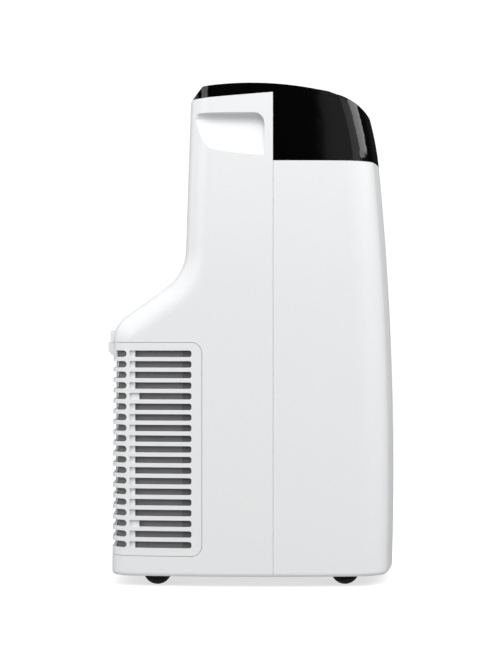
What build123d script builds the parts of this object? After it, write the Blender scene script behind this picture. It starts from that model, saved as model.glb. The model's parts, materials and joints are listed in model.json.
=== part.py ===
"""Portable air conditioner, modelled as its separate pieces.

Millimetres, +Z up.  X runs across the housing, the front faces -Y and the
rear +Y.  The origin is on the floor under the middle of the machine.
"""
from math import asin, cos, degrees, radians, sin, sqrt
import os

from build123d import *

os.makedirs("parts", exist_ok=True)

# ---- driving dimensions -------------------------------------------------
HALF_WIDTH = 220.0          # at the vertical seam, the widest place
SEAM_Y = -34.0              # vertical joint between front and rear shells
SEAM_GAP = 0.4              # fine shadow gap between neighbouring covers
WALL = 3.0                  # moulded wall of the shells
SHELL_BOTTOM = 15.0         # underside of the shells above the floor
BOTTOM_R = 7.0              # rounding of the bottom edge
DEEP = -60.0                # construction solids start well below the floor
WIDE = 260.0                # construction half-width, beyond the housing

FRONT_Y = -233.0            # most forward point of the front
SWELL_Z = 170.0             # height of that point
FRONT_R = 5100.0            # barrel of the front, seen from the side
PLAN_R = 830.0              # bow of the front, seen from above
VISOR_Z = 659.0             # lower edge of the black visor
VISOR_R = 461.0             # backward curl of the visor
SIDE_R = 1400.0             # bow of the sides, seen from above
LEAN_Z = 480.0              # the sides lean in above this height
LEAN_R = 3000.0
FRONT_CORNER_R = 57.0
REAR_CORNER_R = 40.0

LID_WALL = 4.0
LID_GAP = 0.35
CROWN_Y, CROWN_Z, CROWN_R = 1.0, 240.0, 540.0   # arc of the lid's crown

GRILLE_Y = 75.5             # front edge of the wrap-round rear grille
GRILLE_Z = (47.0, 378.0)
GRILLE_WALL = 6.0
GRILLE_CORNER_R = 17.0
GRILLE_GAP = 0.6
SLOT_ROWS = 19
SLOT_PITCH = 16.42
SLOT_TOP_Z = 360.2
SLOT_HEIGHT = 10.0
SLOT_END_R = 3.4
SIDE_SLOT_Y = (92.0, 188.0)
CORNER_SLOT_Y = 193.0
REAR_RIB_DEPTH = 3.6        # the inner ribs stand this far behind the bars
INNER_POST_Y = (179.5, 188.2)   # upright rib behind the end of the side slots
CLIP_ROWS = (4, 16)         # slots where a filter clip widens that rib
CLIP_Y = 173.0

INTAKE_X = 150.0            # half-width of the upper intake window
INTAKE_Z = (662.0, 738.0)

PORT_Z = 572.0              # exhaust port centre
PORT_R = 66.0               # its bore
PORT_OUTER_R = 73.9
PORT_INNER_Y = 66.0
PORT_LENGTH = 31.0
PORT_DUCT_R = 64.0          # opening of the duct behind the port

HANDLE_Y = -20.8            # front wall of the side hand holds
HANDLE_TOP_Z = 734.5
HANDLE_LOW_Z = 646.0
HANDLE_CORNER_R = 18.0
HANDLE_WALL = 2.5

FLAP_HALF = 140.0
FLAP_FRONT_Y = -167.9
FLAP_PIVOT = (-65.0, 767.9) # Y, Z of the louver flap's hinge
FLAP_BARREL_R = 8.0
PIN_R = 3.0
RUNNING = 0.05              # radial clearance of a pin in its bore

VANE_XS = (-96.0, -48.0, 0.0, 48.0, 96.0)
VANE_Z = 700.0              # vane pivots
CRANK = 12.0                # from a vane's pivot up to its tie pin
DUCT_Y = (-161.0, -75.0)    # outside of the outlet duct
DUCT_FOOT_Z = 641.0
DUCT_WALL = 2.5

BUTTON_XS = (-64.0, -32.0, 0.0, 32.0, 64.0)
BUTTON_NAMES = ("button_power", "button_mode", "button_fan", "button_cooler", "button_warmer")
BUTTON_Y = 20.0
BUTTON_R = 6.0

BLOWER_Z = 545.0            # evaporator blower axis, along Y
FAN_Z = 240.0               # condenser fan axis, along Y
SLINGER_Z = 62.0

CASTER_X = 160.0
CASTER_STEM_Y = {"f": -137.0, "r": 136.0}
CASTER_TRAIL = 10.0
WHEEL_R = 22.0
WELL_R = 36.3
WELL_TOP_Z = 52.5
PAN_Z = (17.0, 20.0)

COMPRESSOR_XY = (-105.0, -118.0)
COMPRESSOR_R = 58.0
DECK_Z = (425.0, 428.0)

COLD_PIPE_X = -174.0

LOW_DRAIN = (-110.0, 32.0)  # X, Z
MID_DRAIN = (-125.0, 520.0)
GLAND = (110.0, 32.0)


# ---- small helpers ------------------------------------------------------
def block(x, y, z):
    """Box between three (low, high) pairs."""
    middle = [(low + high) / 2 for low, high in (x, y, z)]
    return Pos(*middle) * Box(*[high - low for low, high in (x, y, z)])


def rod(start, direction, radius, length):
    return extrude(Plane(start, z_dir=direction) * Circle(radius), length)


def ring(start, direction, outer, inner, length):
    face = Plane(start, z_dir=direction) * (Circle(outer) - Circle(inner))
    return extrude(face, length)


def prism_x(points, x=(-WIDE, WIDE)):
    """Polygon of (Y, Z) points carried across the machine."""
    face = Plane((x[0], 0, 0), x_dir=(0, 1, 0), z_dir=(1, 0, 0)) * Polygon(*points, align=None)
    return extrude(face, x[1] - x[0], dir=(1, 0, 0))


def prism_y(face, y):
    """Face drawn in (X, Z), carried from y[0] to y[1]."""
    face = Plane((0, y[1], 0), x_dir=(1, 0, 0), z_dir=(0, -1, 0)) * face
    return extrude(face, y[1] - y[0], dir=(0, -1, 0))


def polar(centre, radius, angle):
    return (centre[0] + radius * cos(radians(angle)), centre[1] + radius * sin(radians(angle)))


def moved_in(sketch, inset):
    return offset(sketch, amount=-inset, kind=Kind.INTERSECTION) if inset else sketch


def save(name, shape):
    shape.label = name
    export_step(shape, f"parts/{name}.step")


# ---- the housing's outer form -------------------------------------------
def rear_outline():
    """Side view of the rear wall: tower, shoulder and hump."""
    low = (217.9, DEEP)
    high = (90.5, 860.0)
    with BuildSketch(Plane.YZ) as sketch:
        with BuildLine():
            FilletPolyline(high, (102.4, 484.2), (214.8, 404.2), low, radius=[75, 45])
            Polyline(low, (-320, DEEP), (-320, 860), high)
        make_face()
    return sketch.sketch


def roof_outline():
    """Side view of the crown and of the bevel at its rear."""
    nose, end = (-320, 730.9), (140, 697.0)
    with BuildSketch(Plane.YZ) as sketch:
        with BuildLine():
            FilletPolyline(nose, (-15, 785.8), (75, 775.0), end, radius=[CROWN_R, 5])
            Polyline(end, (300, 697.0), (300, DEEP - 40), (-320, DEEP - 40), nose)
        make_face()
    return sketch.sketch


def front_outline(inset):
    """Radial section of the bowed front: a long barrel, then the visor's curl."""
    radius = FRONT_R - inset
    centre = (PLAN_R - FRONT_R, SWELL_Z)
    low = degrees(asin((DEEP - SWELL_Z) / radius))
    joint = degrees(asin((VISOR_Z - SWELL_Z) / FRONT_R))
    curl_centre = polar(centre, FRONT_R - VISOR_R, joint)
    high = 32.0
    curl = VISOR_R - inset
    start, knee, top = polar(centre, radius, low), polar(centre, radius, joint), polar(curl_centre, curl, high)
    with BuildSketch(Plane.XZ) as sketch:
        with BuildLine():
            ThreePointArc(start, polar(centre, radius, (low + joint) / 2), knee)
            ThreePointArc(knee, polar(curl_centre, curl, (joint + high) / 2), top)
            Polyline(top, (200, top[1]), (200, DEEP), start)
        make_face()
    return sketch.sketch


def brow_outline():
    """Radial section of the rounded brow between visor and crown."""
    axis_y = FRONT_Y + PLAN_R
    low, middle, high = [(axis_y - y, z) for y, z in ((-201, 722), (-186.5, 748), (-160, 762.5))]
    with BuildSketch(Plane.XZ) as sketch:
        with BuildLine():
            ThreePointArc(low, middle, high)
            Polyline(high, (high[0] - 60, high[1] + 22), (200, high[1] + 22), (200, DEEP),
                     (low[0] + 60, DEEP), (low[0] + 14, low[1] - 36), low)
        make_face()
    return sketch.sketch


def side_outline(inset):
    """Radial section of a side: upright, then leaning inwards."""
    foot = SIDE_R - inset
    lean = LEAN_R - inset

    def at(height):
        return (foot - lean + sqrt(lean ** 2 - height ** 2), LEAN_Z + height)

    with BuildSketch(Plane.XZ) as sketch:
        with BuildLine():
            ThreePointArc(at(0), at(200), at(400))
            Polyline(at(400), (900, LEAN_Z + 400), (900, DEEP), (foot, DEEP), at(0))
        make_face()
    return sketch.sketch


def envelope(inset=0.0):
    """The housing's form with every surface moved in by inset; no floor."""
    turn_front, turn_side = 100.0, 40.0
    to_front = Pos(0, FRONT_Y + PLAN_R, 0) * Rot(0, 0, -90 - turn_front / 2)
    to_side = Pos(HALF_WIDTH - SIDE_R, SEAM_Y, 0) * Rot(0, 0, -turn_side / 2)
    side = to_side * revolve(side_outline(inset), Axis.Z, turn_side)
    form = extrude(moved_in(rear_outline(), inset), WIDE, both=True)
    form = form & (to_front * revolve(front_outline(inset), Axis.Z, turn_front))
    form = form & side & mirror(side, Plane.YZ)
    for ahead, radius in ((True, FRONT_CORNER_R), (False, REAR_CORNER_R)):
        edges = [e for e in form.edges() if is_corner(e) and ((e @ 0.5).Y < 0) == ahead]
        form = fillet(edges, radius - inset)
    form = form & extrude(moved_in(roof_outline(), inset), WIDE, both=True)
    return form & (to_front * revolve(moved_in(brow_outline(), inset), Axis.Z, turn_front))


def is_corner(edge):
    middle, size = edge @ 0.5, edge.bounding_box().size
    return abs(middle.X) > 150 and abs(middle.Y) > 60 and size.Z > 4 and size.X < 80


def rim_zone(lift):
    """Everything above the joint line between the lid and the covers below it."""
    rear, seam = (240, 743.5 + lift), (SEAM_Y, 765.5 + lift)
    middle, nose = (-112, 761.0 + lift), (-190, 746.5 + lift)
    with BuildSketch(Plane.YZ) as sketch:
        with BuildLine():
            Line(rear, seam)
            ThreePointArc(seam, middle, nose)
            Polyline(nose, (-320, nose[1] - 40), (-320, 900), (240, 900), rear)
        make_face()
    return extrude(sketch.sketch, WIDE, both=True)


def bottom_edges(form):
    level = form.bounding_box().min.Z
    return [e for e in form.edges() if e.bounding_box().max.Z < level + 0.01]


OUTER = envelope() & block((-WIDE, WIDE), (-320, 320), (SHELL_BOTTOM, 900))
OUTER = fillet(bottom_edges(OUTER), BOTTOM_R)
INNER = envelope(WALL)
SKIN = OUTER - INNER
LID_ZONE = rim_zone(LID_GAP)
UNDER_LID = SKIN - rim_zone(0)


def crown_height(y):
    return CROWN_Z + sqrt(CROWN_R ** 2 - (y - CROWN_Y) ** 2)


def rear_wall_y(z):
    """Outside of the rear wall on the middle plane, tower or hump."""
    if z > 450:
        return 102.4 - (z - 484.2) * (102.4 - 90.5) / (860.0 - 484.2)
    return 214.8 + (404.2 - z) * (217.9 - 214.8) / (404.2 - DEEP)


# ---- covers -------------------------------------------------------------
def handle_form(grow):
    """Hand hold scooped out of the right side, running out at the rear corner."""
    section = Polygon((240, HANDLE_TOP_Z), (214, HANDLE_TOP_Z), (193.5, HANDLE_TOP_Z - 2),
                      (192.0, HANDLE_TOP_Z - 10.5), (222.5, HANDLE_LOW_Z), (240, HANDLE_LOW_Z), align=None)
    inner = section.vertices().sort_by(Axis.X)[:2]
    section = offset(fillet(inner, 4.0), amount=grow, kind=Kind.INTERSECTION)
    across = prism_y(section, (HANDLE_Y - grow, 130))
    low = HANDLE_LOW_Z - 20
    view = Polygon((HANDLE_Y, low), (150, low), (150, HANDLE_TOP_Z), (HANDLE_Y, HANDLE_TOP_Z), align=None)
    corner = view.vertices().sort_by_distance((HANDLE_Y, HANDLE_TOP_Z, 0))[0]
    view = offset(fillet(corner, HANDLE_CORNER_R), amount=grow, kind=Kind.INTERSECTION)
    along = extrude(Plane((150, 0, 0), x_dir=(0, 1, 0), z_dir=(1, 0, 0)) * view, 110, dir=(1, 0, 0))
    return across & along


def rounded_window(y, z, radius, shrink=0.0):
    """Prism across the machine with rounded front corners, for the rear grille."""
    width, height = y[1] - y[0], z[1] - z[0]
    face = RectangleRounded(width - 2 * shrink, height - 2 * shrink, radius - shrink)
    plane = Plane((-WIDE, (y[0] + y[1]) / 2, (z[0] + z[1]) / 2), x_dir=(0, 1, 0), z_dir=(1, 0, 0))
    return extrude(plane * face, 2 * WIDE)


def grille_window(shrink=0.0):
    return rounded_window((GRILLE_Y, 300), GRILLE_Z, GRILLE_CORNER_R, shrink)


SCREWS = [(x, z) for x in (-158.0, 158.0) for z in (548.0, 645.0)] + [(x, 31.0) for x in (-60.0, 60.0)]


def front_shell():
    shell = UNDER_LID & block((-WIDE, WIDE), (-320, SEAM_Y - SEAM_GAP / 2), (0, VISOR_Z - SEAM_GAP / 2))
    return shell


def rear_shell():
    back = block((-WIDE, WIDE), (SEAM_Y + SEAM_GAP / 2, 320), (0, 900))
    pockets = handle_form(HANDLE_WALL)
    hollow = handle_form(0)
    body = UNDER_LID & back
    inside = OUTER & back
    body = body + (inside & pockets) + (inside & mirror(pockets, Plane.YZ)) - hollow - mirror(hollow, Plane.YZ)
    body = body - grille_window()
    body = body - rod((0, 60, PORT_Z), (0, 1, 0), PORT_OUTER_R + 0.3, 60)
    body = body - block((-INTAKE_X, INTAKE_X), (60, 130), INTAKE_Z)
    boss = block((-34, 34), (206, 229.5), (GRILLE_Z[1] + 0.6, 397))
    boss = fillet(boss.edges().filter_by(Axis.X).sort_by(Axis.Y)[-2:], 3.0) - INNER
    body = body + boss
    for x, z in SCREWS:
        y = rear_wall_y(z)
        body = body - rod((x, y - 1.6, z), (0, 1, 0), 4.0, 10) - rod((x, y - 10, z), (0, 1, 0), 2.3, 20)
    for x, z, radius in ((*LOW_DRAIN, 12.6), (*MID_DRAIN, 12.6), (*GLAND, 9.0)):
        body = body - rod((x, rear_wall_y(z) - 12, z), (0, 1, 0), radius, 30)
    return body


def front_visor():
    visor = UNDER_LID & block((-WIDE, WIDE), (-320, SEAM_Y - SEAM_GAP / 2), (VISOR_Z + SEAM_GAP / 2, 900))
    return visor - block((-FLAP_HALF - 2, FLAP_HALF + 2), (FLAP_FRONT_Y - 4, SEAM_Y), (700, 900))


def panel_area(grow=0.0):
    return block((-112 - grow, 112 + grow), (-40 - grow, 45 + grow), (700, 900))


def display_area(grow=0.0):
    return block((-32 - grow, 32 + grow), (-29 - grow, -5 + grow), (700, 900))


def button_holes():
    holes = [rod((x, BUTTON_Y, 740), (0, 0, 1), BUTTON_R + 0.3, 60) for x in BUTTON_XS]
    return sum(holes[1:], holes[0])


PANEL_DEPTH = 2.2
PANEL_FLOOR = envelope(PANEL_DEPTH)
LENS_FLOOR = envelope(1.4)


def top_lid():
    lid = (OUTER - envelope(LID_WALL)) & LID_ZONE
    lid = lid - block((-FLAP_HALF - 0.6, FLAP_HALF + 0.6), (-168.6, -55.6), (700, 900))
    lid = lid - (panel_area(0.3) - PANEL_FLOOR) - display_area(-2.0) - button_holes()
    y, z = FLAP_PIVOT
    for side in (-1, 1):
        x = sorted((side * 141.4, side * 148.8))
        lug = prism_x([(y - 7, z - 7), (y + 7, z - 7), (y + 7, crown_height(y) - 2),
                       (y - 7, crown_height(y) - 4)], x)
        lid = lid + lug - rod((x[0] - 2, y, z), (1, 0, 0), PIN_R + RUNNING, 12)
        for post_y in (-34.0, 36.0):
            lid = lid + rod((side * 98, post_y, 763.6), (0, 0, 1), 3.0, crown_height(post_y) - 2.8 - 763.6)
    return lid


def control_panel():
    return ((OUTER - envelope(2.0)) & panel_area()) - display_area(0.2) - button_holes()


def display_lens():
    return (OUTER - LENS_FLOOR) & display_area()


def control_board():
    board = block((-106, 106), (-38, 40), (762.0, 763.6)) + block((-29, 29), (-26, -8), (763.6, 773.0))
    for x in BUTTON_XS:
        board = board + block((x - 3, x + 3), (BUTTON_Y - 3, BUTTON_Y + 3), (763.6, 766.8))
        board = board + rod((x, BUTTON_Y, 766.8), (0, 0, 1), 1.75, 1.2)
    return board


def button(x):
    cap = rod((x, BUTTON_Y, 769.6), (0, 0, 1), BUTTON_R, 780.9 - 769.6)
    cap = fillet(cap.edges().sort_by(Axis.Z)[-1], 0.8)
    return cap + rod((x, BUTTON_Y, 773.6), (0, 0, 1), BUTTON_R + 1.6, 1.6)


# ---- air outlet ---------------------------------------------------------
def louver_flap():
    y, z = FLAP_PIVOT
    area = block((-FLAP_HALF, FLAP_HALF), (FLAP_FRONT_Y, y - 1.2), (700, 900))
    flap = (OUTER - INNER) & area
    stiffener = (INNER & area) - envelope(8.0)
    for x in (-136.0, -70.0, 0.0, 70.0, 136.0):
        flap = flap + (stiffener & block((x - 1.2, x + 1.2), (FLAP_FRONT_Y + 6, y - 2), (700, 900)))
    flap = flap + rod((-FLAP_HALF, y, z), (1, 0, 0), FLAP_BARREL_R, 2 * FLAP_HALF)
    return flap + rod((-FLAP_HALF - 8.4, y, z), (1, 0, 0), PIN_R, 2 * FLAP_HALF + 16.8)


def louver_motors():
    """Stepper for the flap at one end, and one behind the duct for the vanes."""
    y, z = FLAP_PIVOT
    flap_motor = rod((150.0, y, z - 12), (1, 0, 0), 14.0, 19)
    flap_motor = flap_motor + block((150.0, 152.0), (y - 4, y + 4), (z - 40, z - 12))
    vane_motor = rod((VANE_XS[0], DUCT_Y[1] + 0.6, VANE_Z), (0, 1, 0), 14.0, 18)
    return flap_motor + vane_motor


def outlet_duct():
    """Funnel from the blower's mouth up to the louver."""
    def form(grow):
        half = 136.0 + grow
        view = Polygon((-62 - grow, DUCT_FOOT_Z), (62 + grow, DUCT_FOOT_Z), (half, 684), (half, 800), (-half, 800),
                       (-half, 684), align=None)
        return prism_y(view, (DUCT_Y[0] + DUCT_WALL - grow, DUCT_Y[1] - DUCT_WALL + grow))

    duct = form(DUCT_WALL) - form(0)
    duct = duct & prism_x([(-170, 600), (-170, 742), (-70, 761.5), (-70, 600)])
    for x in VANE_XS:
        duct = duct - rod((x, DUCT_Y[0] - 5, VANE_Z), (0, 1, 0), 2.0 + RUNNING, 100)
    return duct


def vane(x):
    """Upright air vane with a pivot pin at each end and a tie pin above."""
    blade = block((x - 1, x + 1), (-148, -82), (688, 738))
    pivot = rod((x, DUCT_Y[0], VANE_Z), (0, 1, 0), 2.0, DUCT_Y[1] - DUCT_Y[0])
    hub = rod((x, -148, VANE_Z), (0, 1, 0), 3.2, 66)
    return blade + pivot + hub + rod((x, -156.4, VANE_Z + CRANK), (0, 1, 0), 1.2, 9.4)


def vane_tie_bar():
    bar = block((VANE_XS[0] - 9, VANE_XS[-1] + 9), (-155.6, -152.4), (704.8, 717.2))
    for x in VANE_XS:
        slot = Plane((x, -150, 710.8), x_dir=(0, 0, 1), z_dir=(0, -1, 0)) * SlotOverall(6.4, 3.6)
        bar = bar - extrude(slot, 10)
    return bar


# ---- base and castors ---------------------------------------------------
def caster_stems():
    for row, y in CASTER_STEM_Y.items():
        for side, x in (("l", CASTER_X), ("r", -CASTER_X)):
            yield row + side, x, y, CASTER_TRAIL * (-1 if row == "f" else 1)


def base_pan():
    inner = envelope(4.0)
    floor = inner & block((-WIDE, WIDE), (-320, 320), PAN_Z)
    rim = (inner - envelope(7.0)) & block((-WIDE, WIDE), (-320, 320), (PAN_Z[0], 44))
    pan = floor + rim
    for name, x, y, trail in caster_stems():
        well = rod((x, y, PAN_Z[0]), (0, 0, 1), WELL_R + 2.5, WELL_TOP_Z + 2.5 - PAN_Z[0])
        pan = pan + well + rod((x, y, WELL_TOP_Z), (0, 0, 1), 9.0, 5)
        pan = pan - rod((x, y, 0), (0, 0, 1), WELL_R, WELL_TOP_Z) - rod((x, y, 0), (0, 0, 1), 5.0 + RUNNING, 90)
    x, z = LOW_DRAIN
    spout = rod((x, 198, z), (0, 1, 0), 10.0, 15)
    pan = pan + spout - rod((x, 190, z), (0, 1, 0), 7.05, 40)
    x, z = GLAND
    pan = pan - rod((x, 190, z), (0, 1, 0), 8.0, 40)
    for x, z in SCREWS:
        pan = pan - rod((x, 190, z), (0, 1, 0), 2.3, 40)
    return pan


def caster_fork(x, y, trail):
    web_y = sorted((y - 6 * (1 if trail > 0 else -1), y + trail + (6 if trail > 0 else -6)))
    fork = rod((x, y, 46), (0, 0, 1), 15.0, 5) + block((x - 3.5, x + 3.5), web_y, (20, 46.5))
    fork = fork + rod((x - 3.5, y + trail, WHEEL_R), (1, 0, 0), 7.0, 7)
    fork = fork + rod((x, y, 51), (0, 0, 1), 5.0, 8.6) + rod((x, y, 57.8), (0, 0, 1), 6.5, 2.0)
    return fork - rod((x - 10, y + trail, WHEEL_R), (1, 0, 0), 3.0 + RUNNING, 20)


def caster_wheels(x, y, trail):
    """Twin wheels and their axle, turning together."""
    axle = rod((x - 15, y + trail, WHEEL_R), (1, 0, 0), 3.0, 30)
    wheels = axle
    for side in (-1, 1):
        start = x + (4.2 if side > 0 else -15.2)
        wheel = rod((start, y + trail, WHEEL_R), (1, 0, 0), WHEEL_R, 11)
        wheel = fillet(wheel.edges().filter_by(GeomType.CIRCLE), 2.6)
        recess = ring((start + (9 if side > 0 else -1), y + trail, WHEEL_R), (1, 0, 0), 16.0, 6.0, 3)
        wheels = wheels + (wheel - recess)
    return wheels


# ---- rear grille and filters --------------------------------------------
def slot_heights():
    return [SLOT_TOP_Z - SLOT_PITCH * row for row in range(SLOT_ROWS)]


def rear_grille():
    deep = envelope(GRILLE_WALL)
    grille = (OUTER - deep) & grille_window(GRILLE_GAP)
    behind_bars = envelope(REAR_RIB_DEPTH) - deep
    side_face = Plane((-WIDE, sum(SIDE_SLOT_Y) / 2, 0), x_dir=(0, 1, 0), z_dir=(1, 0, 0))
    length = SIDE_SLOT_Y[1] - SIDE_SLOT_Y[0]
    side_slot = extrude(side_face * RectangleRounded(length, SLOT_HEIGHT, SLOT_END_R), 2 * WIDE)
    side_slot = side_slot + block((-WIDE, WIDE), (SIDE_SLOT_Y[1] - 12, SIDE_SLOT_Y[1]),
                                  (-SLOT_HEIGHT / 2, SLOT_HEIGHT / 2))
    half = SLOT_HEIGHT / 2
    rear_slot = block((-WIDE, WIDE), (CORNER_SLOT_Y + half, 300), (-half, half))
    rear_slot = rear_slot + rod((-WIDE, CORNER_SLOT_Y + half, 0), (1, 0, 0), half, 2 * WIDE)
    short_slot = rear_slot - block((-44, 44), (CORNER_SLOT_Y, 300), (-half, half))
    cuts = []
    for row, z in enumerate(slot_heights()):
        cuts.append(Pos(0, 0, z) * (side_slot + (short_slot if row < 2 else rear_slot)))
    for cut in cuts:
        grille = grille - cut
    ribs = behind_bars & block((-WIDE, WIDE), (SIDE_SLOT_Y[0], 300), (GRILLE_Z[0] + 8, GRILLE_Z[1] - 8))
    grille = grille + (ribs & block((-WIDE, WIDE), INNER_POST_Y, (0, 400)))
    for row in CLIP_ROWS:
        z = slot_heights()[row]
        grille = grille + (ribs & block((-WIDE, WIDE), (CLIP_Y, INNER_POST_Y[1]), (z - half - 1, z + half + 1)))
    for x in range(-150, 151, 50):
        grille = grille + (ribs & block((x - 1.5, x + 1.5), (190, 300), (0, 400)))
    opening = block((-10.6, 10.6), (190, 240), (348.6, 367.0))
    return grille - opening


def grille_latch():
    """Sliding catch: finger block outside, neck through the grille, tongue inside."""
    finger = block((-32, 32), (217.2, 233.0), (354, 378.2))
    finger = chamfer(finger.edges().filter_by(Axis.X).group_by(Axis.Z)[0].sort_by(Axis.Y)[-1], 9.0)
    finger = fillet(finger.edges().filter_by(Axis.X).sort_by(Axis.Y)[-1], 2.0)
    for z in (362.0, 366.0, 370.0):
        finger = finger - rod((-24, 233.4, z), (1, 0, 0), 1.2, 48)
    neck = block((-10, 10), (204.5, 218), (356, 366.5))
    return finger + neck + block((-14, 14), (203.0, 206.5), (354, 376))


def filter_band(outer, inner):
    return envelope(outer) - envelope(inner)


FILTER_FRONT_Y = 89.0
FILTER_Z = (54.0, 371.0)
FILTER_WINDOWS_Y = ((106.0, 180.0), (188.0, 300.0))


def condenser_filter_frame():
    """Border and ribs of the U-shaped dust filter clipped inside the grille."""
    frame = filter_band(6.8, 9.8) & block((-WIDE, WIDE), (FILTER_FRONT_Y, 300), FILTER_Z)
    low, high = FILTER_Z[0] + 6, FILTER_Z[1] - 6
    middle = SLOT_TOP_Z - 8.5 * SLOT_PITCH
    for y in FILTER_WINDOWS_Y:
        for z in ((low, middle - 2.5), (middle + 2.5, high)):
            frame = frame - block((-WIDE, WIDE), y, z)
    bars = filter_band(6.8, 9.8) & block((-WIDE, WIDE), (190, 300), (low, high))
    for x in (-150.0, -75.0, 75.0, 150.0):
        frame = frame + (bars & block((x - 2, x + 2), (190, 300), (low, high)))
    return frame - block((-16, 16), (190, 260), (345, 371.5))


def condenser_filter_mesh():
    """Fine screen, one sheet in each opening of its frame."""
    sheet = filter_band(8.0, 8.8) & block((-WIDE, WIDE), (FILTER_FRONT_Y, 300), FILTER_Z)
    return sheet - condenser_filter_frame() - block((-17, 17), (190, 260), (344, 372))


def intake_grille():
    half, (low, high) = INTAKE_X - SEAM_GAP, INTAKE_Z
    area = block((-half, half), (60, 130), (low + SEAM_GAP, high - SEAM_GAP))
    grille = SKIN & area
    for row in range(7):
        z = low + 8.5 + row * 9.8
        for x in range(-144, 144, 48):
            grille = grille - block((x + 2, x + 46), (60, 130), (z - 2.6, z + 2.6))
    return grille + block((-143, 143), (86.5, 94.6), (low + 1.2, low + 3.2))


def evaporator_filter():
    low, high = INTAKE_Z[0] + 5, INTAKE_Z[1] - 3
    panel = block((-146, 146), (81, 86), (low, high))
    for x in (-145.0, -48.0, 49.0):
        panel = panel - block((x + 4, x + 92), (83, 90), (low + 5, high - 5))
    return panel - block((-141, 141), (80, 82.2), (low + 5, high - 5))


# ---- exhaust ------------------------------------------------------------
def exhaust_collar():
    collar = ring((0, PORT_INNER_Y, PORT_Z), (0, 1, 0), PORT_OUTER_R, PORT_R, PORT_LENGTH)
    flange = ring((0, 88.5, PORT_Z), (0, 1, 0), PORT_OUTER_R + 9, PORT_R, 3.0)
    return collar + flange


def exhaust_guard():
    y, depth = PORT_INNER_Y - 3.3, 3.0
    guard = ring((0, y, PORT_Z), (0, 1, 0), 72.0, 62.0, depth)
    for radius in (14.0, 26.0, 38.0, 50.0):
        guard = guard + ring((0, y, PORT_Z), (0, 1, 0), radius, radius - 2.4, depth)
    spoke = block((-1.5, 1.5), (y, y + depth), (12, 63))
    for turn in range(0, 360, 45):
        guard = guard + Pos(0, 0, PORT_Z) * Rot(0, turn, 0) * spoke
    return guard


def exhaust_duct():
    y = (-10.0, PORT_INNER_Y - 3.6)
    duct = block((-75, 75), y, (DECK_Z[1], 646))
    inside = block((-72.5, 72.5), (y[0] + 2.5, y[1] - 2.5), (400, 643.5))
    return duct - inside - rod((0, 40, PORT_Z), (0, 1, 0), PORT_DUCT_R, 40)


# ---- air and cooling parts ----------------------------------------------
def mid_deck():
    deck = envelope(4.0) & block((-WIDE, WIDE), (-320, 320), DECK_Z)
    deck = deck - block((-72.5, 72.5), (-7.5, 59.9), (400, 450))
    return deck - rod((COLD_PIPE_X, -150, 400), (0, 0, 1), 6.0, 50)


def volute(radius, axis_z, mouth_half, mouth_z, y, hub_r, inlet_r):
    """Blower casing: round scroll with a straight mouth at the top."""
    def form(shrink):
        wheel = Pos(0, axis_z) * Circle(radius - shrink)
        height = mouth_z - axis_z + (10 if shrink else 0)
        mouth = Pos(0, axis_z + height / 2) * Rectangle(2 * (mouth_half - shrink), height)
        return prism_y(wheel + mouth, (y[0] + shrink, y[1] - shrink))

    casing = form(0) - form(DUCT_WALL)
    casing = casing - rod((0, y[0] - 5, axis_z), (0, 1, 0), hub_r, 20)
    return casing - rod((0, y[1] - 20, axis_z), (0, 1, 0), inlet_r, 30)


def fan_wheel(radius, inner, axis_z, y, shaft_r, shaft_y, blades):
    """Forward-curved wheel: back plate, blades, front ring, hub and shaft."""
    wheel = rod((0, y[0], axis_z), (0, 1, 0), radius, 3)
    wheel = wheel + ring((0, y[1] - 3, axis_z), (0, 1, 0), radius, inner, 3)
    blade = Pos(0, 0, (radius + inner) / 2) * Rot(0, 24, 0) * Box(1.6, y[1] - y[0] - 4, radius - inner - 1)
    for number in range(blades):
        turn = Pos(0, (y[0] + y[1]) / 2, axis_z) * Rot(0, 360.0 * number / blades, 0)
        wheel = wheel + turn * blade
    hub = rod((0, y[0], axis_z), (0, 1, 0), 3 * shaft_r, 14)
    return wheel + hub + rod((0, shaft_y, axis_z), (0, 1, 0), shaft_r, y[0] - shaft_y + 20)


def motor(radius, axis_z, y, shaft_r, shaft_y):
    can = rod((0, y[0], axis_z), (0, 1, 0), radius, y[1] - y[0])
    can = fillet(can.edges().filter_by(GeomType.CIRCLE), 4.0)
    return can - rod((0, shaft_y - 1, axis_z), (0, 1, 0), shaft_r + RUNNING, y[1] - shaft_y + 5)


def coil(half, y, z, rows, tube_r=4.0):
    """Finned block between two end plates, with hairpin tube bends at both ends."""
    fins = block((-half + 2, half - 2), (y[0] + 1.5, y[1] - 1.5), (z[0] + 1.5, z[1] - 1.5))
    body = fins
    for side in (-1, 1):
        plate_x = sorted((side * half, side * (half - 2)))
        body = body + block(plate_x, y, z)
        pitch = (z[1] - z[0]) / rows
        for row in range(rows):
            centre = Plane((side * half, (y[0] + y[1]) / 2, z[0] + pitch * (row + 0.5)),
                           x_dir=(side, 0, 0), z_dir=(0, 0, 1))
            bend = Torus(pitch * 0.5, tube_r * 0.8) & block((0, 40), (-40, 40), (-10, 10))
            body = body + centre.location * bend
    return body


def compressor():
    x, y = COMPRESSOR_XY
    can = rod((x, y, 61.0), (0, 0, 1), COMPRESSOR_R, 205)
    can = fillet(can.edges().filter_by(GeomType.CIRCLE), 22.0)
    foot = extrude(Plane((x, y, 58.0)) * make_hull_face(), 3.2, dir=(0, 0, 1))
    return can + foot + rod((x, y, 266), (0, 0, 1), 16.0, 12)


def foot_places():
    return [(70.0 * cos(radians(a)), 70.0 * sin(radians(a))) for a in (30, 150, 270)]


def make_hull_face():
    pads = Sketch() + [Pos(px, py) * Circle(13.0) for px, py in foot_places()]
    return make_hull(pads.edges())


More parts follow.
